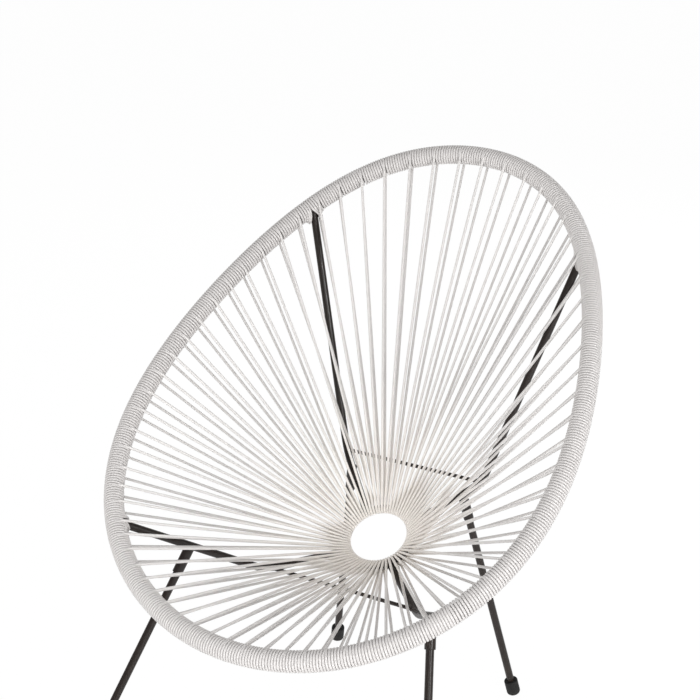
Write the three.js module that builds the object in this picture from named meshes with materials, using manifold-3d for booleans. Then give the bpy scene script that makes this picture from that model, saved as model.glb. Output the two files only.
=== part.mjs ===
// A lounge chair with a seat of strung cord: an egg-shaped hoop wound with cord, a small ring hung below
// it, a bowl of taut cord loops between the two, and four bent struts, two cross bars and four legs.
// Millimetres, +Z up. The origin lies on the floor under the middle of the hoop. The chair faces -Y,
// and its right side is the one towards +X.
import * as THREE from 'three';
import { mergeVertices, toCreasedNormals } from 'three/addons/utils/BufferGeometryUtils.js';
import loadManifold from 'manifold-3d';

const wasm = await loadManifold();
wasm.setup();

const rad = THREE.MathUtils.degToRad;
const vec = (x, y, z) => new THREE.Vector3(x, y, z);
const fullTurn = 2 * Math.PI;

// Fit between pieces that touch, and how far a cutter runs past what it cuts.
const clearance = 0.3;
const overrun = 5;

// Cord, and how it is strung. The loops stand closer together towards the front of the hoop, and stray
// a little, as hand-strung loops do: the shares are the sine and cosine terms of their spacing.
const cordDiameter = 4.05;
const loopCount = 69;
const loopsPerPanel = 3;
const startShare = 0.008;
const crowdingShares = [0.192, -0.012, -0.009, 0.009];
const strayShares = [-0.015, -0.007, 0.009, 0.004];

// The winding on the hoop stands in broad helical ridges.
const windingThickness = 3.9;
const ridgeDepth = 1.3;
const ridgesPerLoop = 1.5;

// Hoop: a flat egg of round tube that leans back. The shares are the sine terms of its half width
// and the cosine terms of its half length.
const hoopTubeDiameter = 22.2;
const hoopHalfWidth = 346.7;
const hoopHalfLength = 451.5;
const hoopHeight = 599.2;
const hoopTilt = rad(35.4);
const hoopWidthShares = [1.0037, -0.0991, 0.0321, 0.004];
const hoopLengthShares = [0.99, -0.0266, 0.0099, -0.0048];

// Centre ring, hung below the hoop's plane and forward of its middle.
const ringTubeDiameter = 10;
const ringRadius = 54.3;
const bowlDepth = 253.7;
const ringForward = 122.4;
const ringTilt = rad(30.8);

// Struts: from the hoop by way of a bend to the ring. Their ends stand at shares of the way round from
// the back, and the front bends hang below the cord.
const strutDiameter = 12;
const bendReach = 26;
const rearHoopShare = 0.1163;
const rearRingShare = 0.1304;
const rearBendHalfSpan = 122.4;
const rearBendBack = 158.8;
const rearBendHeight = 396.9;
const frontHoopShare = 0.3758;
const frontRingShare = 0.3768;
const frontBendHalfSpan = 134.1;
const frontBendForward = 75.5;
const frontBendDrop = 18.2;

// Cross bars, each at a share of the way through the struts' bends.
const crossBarDiameter = 6;
const rearBarShare = 0.5;
const frontBarShare = 0.65;

// Lower strands part to let a strut through. The share is how much of that happens at the ring itself.
const partingLoops = 6;
const partingRingShare = 0.42;

// Legs and their sockets. The rear sockets sit inboard of the bends, the front ones part of the way
// up the struts, and the feet stand wider than the sockets.
const legDiameter = 12;
const legWall = 1.2;
const socketWall = 1.7;
const socketLength = 46;
const legInsertion = 36;
const rearSocketInboard = 34.5;
const frontSocketShare = 0.51;
const rearFootHalfSpan = 171.5;
const rearFootBack = 208.1;
const frontFootHalfSpan = 300.7;
const frontFootForward = 370.7;

// Foot caps of moulded rubber, flattened a little by the floor.
const capWall = 5.2;
const capLength = 27;
const capRounding = 5;
const capRimRounding = 1.5;
const capFloorThickness = 6;
const capFlattening = 1.5;

// Pan-head screws that hold the legs in their sockets.
const screwHeadDiameter = 8;
const screwHeadHeight = 2.6;
const screwShankDiameter = 4.4;
const screwGrip = 3.2;

// Facets.
const hoopSides = 8;
const ringSides = 8;
const ringSteps = 34;
const strutSides = 10;
const bendSteps = 5;
const barSides = 8;
const cordSides = 5;
const wrapSteps = 4;
const legSides = 12;
const screwSides = 6;
const roundingSteps = 2;

// Solids.

// Six times the volume inside a triangle mesh, negative when its faces point in.
function signedVolume(position, index) {
  const [a, b, c] = [vec(0, 0, 0), vec(0, 0, 0), vec(0, 0, 0)];
  let sum = 0;
  for (let i = 0; i < index.length; i += 3) {
    a.fromBufferAttribute(position, index[i]);
    b.fromBufferAttribute(position, index[i + 1]);
    c.fromBufferAttribute(position, index[i + 2]);
    sum += a.dot(b.cross(c));
  }
  return sum;
}

// Shared corners become one, triangles that have shrunk to a line go, and the faces point out.
function closedBody(geometry) {
  geometry.deleteAttribute('normal');
  geometry.deleteAttribute('uv');
  const body = mergeVertices(geometry);
  const index = [];
  for (let i = 0; i < body.index.count; i += 3) {
    const [a, b, c] = [body.index.getX(i), body.index.getX(i + 1), body.index.getX(i + 2)];
    if (a !== b && b !== c && c !== a) index.push(a, b, c);
  }
  if (signedVolume(body.attributes.position, index) < 0) index.reverse();
  body.setIndex(index);
  return body;
}

function toSolid(geometry) {
  const body = closedBody(geometry);
  const vertProperties = new Float32Array(body.attributes.position.array);
  const triVerts = new Uint32Array(body.index.array);
  return new wasm.Manifold(new wasm.Mesh({ numProp: 3, vertProperties, triVerts }));
}

function fromSolid(solid) {
  const mesh = solid.getMesh();
  const geometry = new THREE.BufferGeometry();
  geometry.setAttribute('position', new THREE.BufferAttribute(new Float32Array(mesh.vertProperties), 3));
  geometry.setIndex(new THREE.BufferAttribute(new Uint32Array(mesh.triVerts), 1));
  return geometry;
}

const cut = (body, ...cutters) => cutters.reduce((left, cutter) => left.subtract(cutter), body);
const joined = (...bodies) => bodies.reduce((whole, body) => whole.add(body));

// A surface over rows of points. Rows that have shrunk to a point close its ends.
function sheet(rows) {
  const corners = [];
  for (let i = 1; i < rows.length; i++) {
    for (let j = 1; j < rows[i].length; j++) {
      const [a, b, c, d] = [rows[i - 1][j - 1], rows[i][j - 1], rows[i][j], rows[i - 1][j]];
      corners.push(a, b, c, a, c, d);
    }
  }
  return new THREE.BufferGeometry().setFromPoints(corners);
}

// A ring of points round a centre, square to the direction along. The first lies towards up.
function section({ centre, along, up }, radius, sides) {
  const first = up.clone().projectOnPlane(along).normalize();
  const second = along.clone().cross(first).normalize();
  return Array.from({ length: sides + 1 }, (_, j) => {
    const angle = fullTurn * (j % sides) / sides;
    return centre.clone()
      .addScaledVector(first, radius * Math.cos(angle))
      .addScaledVector(second, radius * Math.sin(angle));
  });
}

// Stations of a path: at a corner the section lies on the plane that halves it.
function stations(points, ups) {
  const steps = points.slice(1).map((point, i) => point.clone().sub(points[i]).normalize());
  return points.map((centre, i) => {
    const before = steps[Math.max(i - 1, 0)];
    const after = steps[Math.min(i, steps.length - 1)];
    return { centre, along: before.clone().add(after).normalize(), up: ups[i] };
  });
}

// A round rod along stations, with flat ends.
function rod(path, radius, sides) {
  const rows = path.map((station) => section(station, radius, sides));
  const end = (station) => Array(sides + 1).fill(station.centre);
  return sheet([end(path[0]), ...rows, end(path[path.length - 1])]);
}

// A round rod that closes on itself.
function closedRod(path, radius, sides) {
  const rows = path.map((station) => section(station, radius, sides));
  return sheet([...rows, rows[0]]);
}

// A turned piece about +Z from an outline of [radius, height] pairs.
function turned(outline, sides) {
  const points = outline.map(([radius, height]) => new THREE.Vector2(radius, height));
  return new THREE.LatheGeometry(points, sides).rotateX(fullTurn / 4);
}

// A quarter of a circle in an outline, from one angle to another about its own centre.
function quarter(centreRadius, centreHeight, radius, from, to) {
  return Array.from({ length: roundingSteps + 1 }, (_, i) => {
    const angle = THREE.MathUtils.lerp(from, to, i / roundingSteps);
    return [centreRadius + radius * Math.cos(angle), centreHeight + radius * Math.sin(angle)];
  });
}

// Hoop and ring.

const hoopUp = vec(0, -Math.sin(hoopTilt), Math.cos(hoopTilt));
const hoopBack = vec(0, Math.cos(hoopTilt), Math.sin(hoopTilt));
const hoopMiddle = vec(0, 0, hoopHeight);

// The hoop's centre line, from its highest point round by the right side. The even cosine terms lift
// both ends alike, so they are taken off again to keep the middle.
class HoopCurve extends THREE.Curve {
  getPoint(share, target = vec(0, 0, 0)) {
    const wave = (sum, part, i) => sum + part * Math.cos((i + 1) * fullTurn * share);
    const evenShare = hoopLengthShares[1] + hoopLengthShares[3];
    const backShare = hoopLengthShares.reduce(wave, 0) - evenShare;
    const sideShare = hoopWidthShares.reduce(
      (sum, part, i) => sum + part * Math.sin((i + 1) * fullTurn * share), 0);
    target.copy(hoopMiddle).addScaledVector(hoopBack, hoopHalfLength * backShare);
    target.x += hoopHalfWidth * sideShare;
    return target;
  }
}
const hoopCurve = new HoopCurve();
hoopCurve.arcLengthDivisions = 720;
const hoopLength = hoopCurve.getLength();

function hoopStation(share) {
  const place = share - Math.floor(share);
  return { centre: hoopCurve.getPointAt(place), along: hoopCurve.getTangentAt(place), up: hoopUp };
}

// Where a loop stands on the hoop, as a share of the hoop's length.
function footShare(loop) {
  const even = loop / loopCount;
  const crowding = crowdingShares.map((part, i) => part * Math.sin((i + 1) * fullTurn * even));
  const straying = strayShares.map((part, i) => part * Math.cos((i + 1) * fullTurn * even));
  return startShare + even + [...crowding, ...straying].reduce((sum, part) => sum + part) / fullTurn;
}

const hoopGrid = Array.from({ length: loopCount }, (_, k) => hoopStation(footShare(k - 1 / 2)));
const hoopTube = closedRod(hoopGrid, hoopTubeDiameter / 2, hoopSides);
const hoopSpace = toSolid(closedRod(hoopGrid, hoopTubeDiameter / 2 + clearance, hoopSides));

const ringUp = vec(0, -Math.sin(ringTilt), Math.cos(ringTilt));
const ringCentre = hoopMiddle.clone()
  .addScaledVector(hoopUp, -bowlDepth)
  .addScaledVector(hoopBack, -ringForward);

// The ring's tube at a share of the way round from the back, with the directions outwards and along.
function ringStation(share) {
  const angle = fullTurn * (1 / 4 - share);
  const tilt = new THREE.Matrix4().makeRotationX(ringTilt);
  const out = vec(Math.cos(angle), Math.sin(angle), 0).applyMatrix4(tilt);
  const along = vec(Math.sin(angle), -Math.cos(angle), 0).applyMatrix4(tilt);
  return { centre: ringCentre.clone().addScaledVector(out, ringRadius), out, along, up: ringUp };
}

const wrapShare = (loop) => startShare + loop / loopCount;
const ringGrid = Array.from({ length: ringSteps }, (_, k) => ringStation(k / ringSteps));
const ringTube = closedRod(ringGrid, ringTubeDiameter / 2, ringSides);
const ringSpace = toSolid(closedRod(ringGrid, ringTubeDiameter / 2 + clearance, ringSides));

// Struts and cross bars.

// The height of the cord above a place in front of the ring, halfway between its strands.
function foremostHeight(forward) {
  const ringEnd = ringStation(1 / 2).centre;
  const run = hoopStation(1 / 2).centre.sub(ringEnd);
  return ringEnd.z + run.z * (-forward - ringEnd.y) / run.y;
}

const hoopShareOf = (end, side) => {
  const share = end === 'rear' ? rearHoopShare : frontHoopShare;
  return side > 0 ? share : 1 - share;
};

// Corner points of a strut: hoop, bend and ring. The left ones mirror the right ones.
function strutCorners(end, side) {
  const rear = end === 'rear';
  const ringShare = rear ? rearRingShare : frontRingShare;
  const frontBendHeight = foremostHeight(frontBendForward) - frontBendDrop;
  const bend = rear
    ? vec(side * rearBendHalfSpan, rearBendBack, rearBendHeight)
    : vec(side * frontBendHalfSpan, -frontBendForward, frontBendHeight);
  const top = hoopStation(hoopShareOf(end, side)).centre;
  return { top, bend, low: ringStation(side > 0 ? ringShare : 1 - ringShare).centre };
}

function bendCurve({ top, bend, low }) {
  const towards = (goal) => goal.clone().sub(bend).setLength(bendReach).add(bend);
  return new THREE.QuadraticBezierCurve3(towards(top), bend, towards(low));
}

function strutRod(corners, radius) {
  const { top, bend, low } = corners;
  const points = [top, ...bendCurve(corners).getPoints(bendSteps), low];
  const flat = top.clone().sub(bend).cross(low.clone().sub(bend)).normalize();
  return rod(stations(points, points.map(() => flat)), radius, strutSides);
}

const sides = [['right', 1], ['left', -1]];
const strutPlaces = ['rear', 'front'].flatMap((end) => sides.map(([name, side]) => {
  const corners = strutCorners(end, side);
  const space = toSolid(strutRod(corners, strutDiameter / 2 + clearance));
  return { name: `${end}_${name}`, end, side, corners, space };
}));

function strut({ corners }) {
  return cut(toSolid(strutRod(corners, strutDiameter / 2)), hoopSpace, ringSpace);
}

function crossBar(end, share) {
  const pair = strutPlaces.filter((place) => place.end === end);
  const points = pair.map(({ corners }) => bendCurve(corners).getPoint(share));
  const ups = points.map(() => vec(0, 0, 1));
  const bar = toSolid(rod(stations(points, ups), crossBarDiameter / 2, barSides));
  return cut(bar, ...pair.map(({ space }) => space));
}

// Strung cord.

const cordRadius = cordDiameter / 2;
const strutRoom = strutDiameter / 2 + cordRadius + clearance;
const cordSeat = hoopTubeDiameter / 2 + clearance + cordRadius;

// The wrap round the ring is a row of short straight pieces, so its corners lie far enough out for the
// flats between them to clear the ring.
const cordFlat = cordRadius * Math.cos(fullTurn / (2 * cordSides));
const wrapRadius = (ringTubeDiameter / 2 + clearance + cordFlat) / Math.cos(fullTurn / (4 * wrapSteps));

// How far a lower strand stands aside, as a share: full right at a strut, fading over a few loops.
function partingShareAt(loop) {
  const places = [rearRingShare, frontRingShare, 1 - frontRingShare, 1 - rearRingShare];
  const offsets = places.map((place) => (wrapShare(loop) - place) * loopCount);
  const nearest = offsets.reduce((best, offset) => (Math.abs(offset) < Math.abs(best) ? offset : best));
  return Math.sign(nearest) * Math.max(0, 1 - Math.abs(nearest) / partingLoops);
}

// One point of the wrap: steps of a half turn round the inner side of the ring, from the top strand's
// side to the bottom strand's. Past the inner side the cord starts to stand aside.
function wrapPoint(loop, lean, step) {
  const late = Math.max(0, 2 * step / wrapSteps - 1);
  const aside = late * late * partingRingShare * strutRoom * partingShareAt(loop);
  const { centre, out } = ringStation(wrapShare(loop) + aside / (fullTurn * ringRadius));
  const angle = lean + fullTurn / 4 + step / wrapSteps * fullTurn / 2;
  const away = out.clone().multiplyScalar(Math.cos(angle)).addScaledVector(ringUp, Math.sin(angle));
  return { point: centre.clone().addScaledVector(away, wrapRadius), away };
}

// Where a strand leaves the hoop: square off the line from ring to hoop, above it or below. It ends one
// cord's width short of that place, where it is already sunk in the winding.
function hoopEnd(share, from, above) {
  const { centre, along } = hoopStation(share);
  const line = centre.clone().sub(from).normalize();
  const away = along.clone().cross(line).normalize();
  if (away.z * above < 0) away.negate();
  const point = centre.clone().addScaledVector(away, cordSeat).addScaledVector(line, -cordDiameter);
  return { point, away };
}

// Where a lower strand meets the hoop: a cord's width further on than the upper one, and clear of any
// strut there.
function lowerFootShare(loop) {
  const room = strutRoom / hoopLength;
  const even = footShare(loop) + cordDiameter / hoopLength;
  const near = strutPlaces
    .map(({ end, side }) => even - hoopShareOf(end, side))
    .find((offset) => Math.abs(offset) < room);
  return near === undefined ? even : even - near + Math.sign(near) * room;
}

// The whole loop, from the hoop's top, over the ring, round it and back to the hoop's underside.
function loopRoute(loop) {
  const { centre, out, along } = ringStation(wrapShare(loop));
  const share = footShare(loop);
  const line = hoopStation(share).centre.sub(centre);
  const lean = Math.atan2(line.dot(ringUp), line.dot(out));
  const wraps = Array.from({ length: wrapSteps + 1 }, (_, step) => wrapPoint(loop, lean, step));
  const bottom = wraps[wrapSteps];
  const upper = hoopEnd(share, centre, 1);
  const lower = hoopEnd(lowerFootShare(loop), centre, -1);
  const route = [upper, ...wraps];
  const parting = partingShareAt(loop);
  if (parting !== 0) {
    const run = lower.point.clone().sub(bottom.point).setLength(2 * strutRoom);
    const point = bottom.point.clone().add(run);
    point.addScaledVector(along, (1 - partingRingShare) * strutRoom * parting);
    route.push({ point, away: bottom.away });
  }
  return [...route, lower];
}

function cordLoop(loop) {
  const route = loopRoute(loop);
  const path = stations(route.map(({ point }) => point), route.map(({ away }) => away));
  return toSolid(rod(path, cordRadius, cordSides));
}

// The winding along one panel: ridges that run round the hoop like a screw, over a bore with the hoop's
// own facets. Rows past either end are drawn back to it, at the middle of the ridges' height.
function winding(first) {
  const outerRadius = hoopTubeDiameter / 2 + clearance + windingThickness;
  const start = first - 1 / 2;
  const endGap = clearance / 2 / (hoopLength / loopCount);
  const rowCount = 2 * ridgesPerLoop * loopsPerPanel + 2;
  const point = (place, radius, j) => {
    const low = start + endGap;
    const high = start + loopsPerPanel - endGap;
    const at = THREE.MathUtils.clamp(place, low, high);
    return section(hoopStation(footShare(at)), radius(place > low && place < high), hoopSides)[j];
  };
  const outer = Array.from({ length: rowCount + 1 }, (_, i) => (
    Array.from({ length: hoopSides + 1 }, (_, j) => {
      const place = start + (i / 2 + j / hoopSides - 1) / ridgesPerLoop;
      const inside = i % 2 ? ridgeDepth : 0;
      return point(place, (within) => outerRadius - (within ? inside : ridgeDepth / 2), j);
    })
  ));
  const bore = Array.from({ length: loopsPerPanel + 1 }, (_, i) => (
    Array.from({ length: hoopSides + 1 }, (_, j) => (
      point(start + loopsPerPanel - i, () => hoopTubeDiameter / 2 + clearance, j)
    ))
  ));
  return toSolid(sheet([...outer, ...bore, outer[0]]));
}

// A panel: a stretch of winding with its loops, open where a strut goes through it to the hoop.
function cordPanel(first) {
  const loops = Array.from({ length: loopsPerPanel }, (_, k) => cordLoop(first + k));
  const [low, high] = [footShare(first - 1), footShare(first + loopsPerPanel)];
  const hoopEnds = strutPlaces.filter(({ end, side }) => {
    const share = hoopShareOf(end, side);
    return share > low && share < high;
  });
  return joined(cut(winding(first), ...hoopEnds.map(({ space }) => space)), ...loops);
}

// The least room between neighbouring loops, measured between points spread along them.
function leastLoopGap() {
  const spread = (loop) => {
    const points = loopRoute(loop).map(({ point }) => point);
    return points.slice(1).flatMap((point, i) => {
      const count = Math.ceil(point.distanceTo(points[i]) / (cordDiameter / 4));
      return Array.from({ length: count }, (_, n) => points[i].clone().lerp(point, n / count));
    });
  };
  const all = Array.from({ length: loopCount }, (_, loop) => spread(loop));
  const least = (a, b) => Math.min(...a.map((p) => Math.min(...b.map((q) => p.distanceTo(q)))));
  return Math.min(...all.map((points, k) => least(points, all[(k + 1) % loopCount]))) - cordDiameter;
}

// Legs.

const capRadius = legDiameter / 2 + capWall;
const socketBore = legDiameter / 2 + clearance;
const socketRadius = socketBore + socketWall;

// The line of a leg: its lower end, its length up to the strut's centre line, and a frame with +Z up the
// leg and +Y to the back. A tilted cap touches the floor with its rounded edge.
function legLine({ end, side, corners: { top, bend, low } }) {
  const rear = end === 'rear';
  const seat = rear
    ? low.clone().sub(bend).setLength(rearSocketInboard).add(bend)
    : bend.clone().lerp(top, frontSocketShare);
  const foot = rear
    ? vec(side * rearFootHalfSpan, rearFootBack, 0)
    : vec(side * frontFootHalfSpan, -frontFootForward, 0);
  const up = seat.clone().sub(foot).normalize();
  const lean = up.angleTo(vec(0, 0, 1));
  const flatRadius = capRadius - capRounding;
  const rise = capRounding * (1 - Math.cos(lean)) + flatRadius * Math.sin(lean) - capFlattening;
  const origin = foot.addScaledVector(up, rise / Math.cos(lean));
  const back = vec(0, 1, 0).projectOnPlane(up).normalize();
  const frame = new THREE.Matrix4().makeBasis(back.clone().cross(up), back, up).setPosition(origin);
  return { frame, length: seat.distanceTo(origin) };
}

// A tube about +Z between two heights.
function pipe(inner, outer, low, high) {
  return turned([[inner, low], [outer, low], [outer, high], [inner, high], [inner, low]], legSides);
}

// The hole for the screw, or its shank, through the walls on the leg's back side.
function screwBore(radius, height) {
  const reach = socketRadius + overrun;
  return new THREE.CylinderGeometry(radius, radius, reach, screwSides).translate(0, reach / 2, height);
}

// The socket is a sleeve that is shaped to the strut above it.
function socket({ frame, length }, space) {
  const sleeve = toSolid(pipe(socketBore, socketRadius, 0, socketLength));
  const low = frame.clone().multiply(new THREE.Matrix4().makeTranslation(0, 0, length - socketLength));
  const strutSpace = toSolid(fromSolid(space).applyMatrix4(low.invert()));
  const hole = toSolid(screwBore(screwShankDiameter / 2 + clearance, socketLength / 2));
  return cut(sleeve, strutSpace, hole);
}

function legTube({ length }) {
  const low = capFloorThickness + clearance;
  const high = length - socketLength + legInsertion;
  const tube = toSolid(pipe(legDiameter / 2 - legWall, legDiameter / 2, low, high));
  const hole = screwBore(screwShankDiameter / 2 + clearance, length - socketLength / 2);
  return cut(tube, toSolid(hole));
}

// The cap's outline goes from the floor end's middle, round its edge, up the side, over the rim and down
// into the blind bore for the leg.
function footCap({ frame }) {
  const bore = legDiameter / 2 + clearance;
  const outline = [
    [0, 0],
    ...quarter(capRadius - capRounding, capRounding, capRounding, -fullTurn / 4, 0),
    ...quarter(capRadius - capRimRounding, capLength - capRimRounding, capRimRounding, 0, fullTurn / 4),
    [bore, capLength],
    [bore, capFloorThickness],
    [0, capFloorThickness],
  ];
  const under = 2 * capLength;
  const floor = new THREE.BoxGeometry(under, under, under)
    .translate(0, 0, -under / 2)
    .translate(frame.elements[12], frame.elements[13], 0)
    .applyMatrix4(frame.clone().invert());
  return cut(toSolid(turned(outline, legSides)), toSolid(floor));
}

// The screw stands on the socket with a domed head, its shank inwards through both walls.
function legScrew() {
  const headRadius = screwHeadDiameter / 2;
  const shankRadius = screwShankDiameter / 2;
  const length = socketRadius - legDiameter / 2 + screwGrip;
  return turned([
    [0, -length],
    [shankRadius, -length],
    [shankRadius, 0],
    [headRadius, 0],
    [headRadius, screwHeadHeight / 2],
    [headRadius * Math.SQRT1_2, screwHeadHeight],
    [0, screwHeadHeight],
  ], screwSides);
}

// Looks and assembly.

const looks = {
  cord: { color: 0xdcd9d3, roughness: 0.5, metalness: 0 },
  paint: { color: 0x2c2a28, roughness: 0.42, metalness: 0.35 },
  rubber: { color: 0x171717, roughness: 0.8, metalness: 0 },
  zinc: { color: 0x77787a, roughness: 0.35, metalness: 0.9 },
};
const creaseAngle = rad(50);

function piece(name, shape, look) {
  const geometry = shape.isBufferGeometry ? closedBody(shape) : fromSolid(shape);
  const creased = toCreasedNormals(geometry, creaseAngle);
  const mesh = new THREE.Mesh(creased, new THREE.MeshStandardMaterial(look));
  mesh.name = name;
  return mesh;
}

// One leg with its socket, cap and screw, in a group that stands along the leg.
function legSet(place) {
  const line = legLine(place);
  const group = new THREE.Group();
  line.frame.decompose(group.position, group.quaternion, group.scale);
  const sleeve = piece(`leg_socket_${place.name}`, socket(line, place.space), looks.paint);
  sleeve.position.z = line.length - socketLength;
  const screw = piece(`leg_screw_${place.name}`, legScrew(), looks.zinc);
  screw.position.set(0, socketRadius + clearance, line.length - socketLength / 2);
  screw.rotation.x = -fullTurn / 4;
  group.add(sleeve, screw);
  group.add(piece(`leg_${place.name}`, legTube(line), looks.paint));
  group.add(piece(`foot_cap_${place.name}`, footCap(line), looks.rubber));
  return group;
}

const chair = new THREE.Group();
chair.add(piece('hoop_tube', hoopTube, looks.paint));
chair.add(piece('centre_ring', ringTube, looks.paint));
strutPlaces.forEach((place) => chair.add(piece(`strut_${place.name}`, strut(place), looks.paint)));
chair.add(piece('cross_bar_rear', crossBar('rear', rearBarShare), looks.paint));
chair.add(piece('cross_bar_front', crossBar('front', frontBarShare), looks.paint));
strutPlaces.forEach((place) => chair.add(legSet(place)));

for (let panel = 0; panel * loopsPerPanel < loopCount; panel++) {
  const number = String(panel + 1).padStart(2, '0');
  chair.add(piece(`cord_panel_${number}`, cordPanel(panel * loopsPerPanel), looks.cord));
}
console.log(`least gap between cord loops: ${leastLoopGap().toFixed(3)} mm`);

export default chair;
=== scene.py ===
import math
import bpy
import numpy as np
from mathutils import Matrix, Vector


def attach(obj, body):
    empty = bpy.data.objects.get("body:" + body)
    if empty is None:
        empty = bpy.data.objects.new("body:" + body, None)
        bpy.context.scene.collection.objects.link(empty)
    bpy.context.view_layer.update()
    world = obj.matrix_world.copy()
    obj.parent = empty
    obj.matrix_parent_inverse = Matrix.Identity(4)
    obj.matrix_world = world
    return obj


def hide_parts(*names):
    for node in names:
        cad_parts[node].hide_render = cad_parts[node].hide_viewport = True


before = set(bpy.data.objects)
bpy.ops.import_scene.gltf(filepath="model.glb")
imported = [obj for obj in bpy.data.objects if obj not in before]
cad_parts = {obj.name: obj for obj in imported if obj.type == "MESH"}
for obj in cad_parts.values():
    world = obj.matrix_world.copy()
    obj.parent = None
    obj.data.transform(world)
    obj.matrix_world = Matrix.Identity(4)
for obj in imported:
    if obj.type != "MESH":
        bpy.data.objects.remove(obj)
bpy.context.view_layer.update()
sides = {"right": 1.0, "left": -1.0}


# Vectors in arrays: the last axis holds x, y and z. A vector divided by its length.
def unit(v):
    return v / np.linalg.norm(v, axis=-1, keepdims=True)


# The sum of the products of x, y and z, kept as a column.
def dot(a, b):
    return np.sum(a * b, axis=-1, keepdims=True)


def vec(x, y, z):
    return np.array([x, y, z], dtype=float)


# Points on the straight way from a to b: a + share * (b - a), for a row of shares.
def blendPoints(a, b, share):
    return a + np.asarray(share, dtype=float)[:, None] * (b - a)


# How far along a path each of its points lies: the sum of the steps before it.
def pathRun(path):
    return np.concatenate([[0.0], np.cumsum(np.linalg.norm(np.diff(path, axis=0), axis=1))])


# Angles round a section, clockwise, so that the faces point outwards.
def turnAngles(count):
    return -2 * np.pi * np.arange(count) / count


sharpAngle = math.radians(38)  # edges sharper than this aren't smoothed


# Faces of a grid of points: quad (i, j) joins rows i and i + 1 and columns j and j + 1. Columns
# close on themselves; open rows get a flat lid at each end.
def meshFromGrid(name, grid, material, rowsClose=False, lids=True, attributes=None):
    rows, cols = grid.shape[:2]
    i = np.arange(rows if rowsClose else rows - 1)[:, None]
    j = np.arange(cols)[None, :]
    nextRow, nextCol = (i + 1) % rows, (j + 1) % cols
    corners = [i * cols + j, nextRow * cols + j, nextRow * cols + nextCol, i * cols + nextCol]
    faces = np.stack(corners, axis=-1).reshape(-1, 4).tolist()
    if lids and not rowsClose:
        lastRow = (rows - 1) * cols
        faces += [list(range(cols)), list(range(lastRow + cols - 1, lastRow - 1, -1))]
    mesh = bpy.data.meshes.new(name)
    mesh.from_pydata(grid.reshape(-1, 3).tolist(), [], faces)
    mesh.polygons.foreach_set("use_smooth", np.ones(len(mesh.polygons), dtype=bool))
    for label, values in (attributes or {}).items():
        layer = mesh.attributes.new(label, "FLOAT", "POINT")
        layer.data.foreach_set("value", np.asarray(values, dtype=np.float32).ravel())
    mesh.set_sharp_from_angle(angle=sharpAngle)
    mesh.materials.append(material)
    piece = bpy.data.objects.new(name, mesh)
    bpy.context.collection.objects.link(piece)
    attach(piece, "root")
    return piece


# A tube along a path: centre + radius * (cos a * first + sin a * second), where first is the given
# outward direction made square to the path and second is square to both.
def tubeGrid(path, away, radius, sideCount, closed=False):
    if closed:
        along = unit(np.roll(path, -1, axis=0) - np.roll(path, 1, axis=0))
    else:
        step = unit(np.diff(path, axis=0))
        along = unit(np.concatenate([step[:1], step]) + np.concatenate([step, step[-1:]]))
    first = unit(away - dot(away, along) * along)
    second = np.cross(along, first)
    turn = turnAngles(sideCount)[None, :, None]
    section = np.cos(turn) * first[:, None] + np.sin(turn) * second[:, None]
    return path[:, None] + np.reshape(radius, (-1, 1, 1)) * section


# Materials. One socket wrapper with operators, and one method for every other node.
class Flow:
    def __init__(self, surface, socket):
        self.surface, self.socket = surface, socket

    def join(self, operation, other, flip=False):
        values = dict(enumerate((other, self) if flip else (self, other)))
        return self.surface.node("ShaderNodeMath", {"operation": operation}, values)["Value"]

    def __add__(self, other):
        return self.join("ADD", other)

    def __sub__(self, other):
        return self.join("SUBTRACT", other)

    def __rsub__(self, other):
        return self.join("SUBTRACT", other, flip=True)

    def __mul__(self, other):
        return self.join("MULTIPLY", other)

    def __truediv__(self, other):
        return self.join("DIVIDE", other)

    def __rtruediv__(self, other):
        return self.join("DIVIDE", other, flip=True)

    __radd__, __rmul__ = __add__, __mul__

    def clamped(self):
        return self.join("MAXIMUM", 0.0).join("MINIMUM", 1.0)


# The node tree of a material or of the world.
class Surface:
    def __init__(self, owner):
        owner.use_nodes = True
        self.owner, self.tree = owner, owner.node_tree
        self.shader = self.tree.nodes.get("Principled BSDF") or self.tree.nodes["Background"]

    def node(self, kind, settings, values):
        made = self.tree.nodes.new(kind)
        for key, value in settings.items():
            setattr(made, key, value)
        self.fill(made, values)
        return {out.name: Flow(self, out) for out in made.outputs if out.enabled}

    def fill(self, made, values):
        for key, value in values.items():
            if isinstance(value, Flow):
                self.tree.links.new(value.socket, made.inputs[key])
            else:
                made.inputs[key].default_value = value

    def place(self):
        return self.node("ShaderNodeTexCoord", {}, {})["Object"]

    def noise(self, scale, detail):
        values = {"Vector": self.place(), "Scale": scale, "Detail": detail}
        return self.node("ShaderNodeTexNoise", {}, values)["Fac"]

    def mix(self, share, colourA, colourB):
        return self.node("ShaderNodeMix", {"data_type": "RGBA"}, {
            0: share, 6: wide(colourA), 7: wide(colourB)})["Result"]

    def bump(self, height, strength, distance):
        return self.node("ShaderNodeBump", {}, {
            "Height": height, "Strength": strength, "Distance": distance})["Normal"]

    def attribute(self, name):
        return self.node("ShaderNodeAttribute", {"attribute_name": name}, {})["Fac"]


# A colour of three numbers gets its fourth, and a link stays as it is.
def wide(colour):
    return (*colour, 1.0) if isinstance(colour, tuple) and len(colour) == 3 else colour


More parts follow.
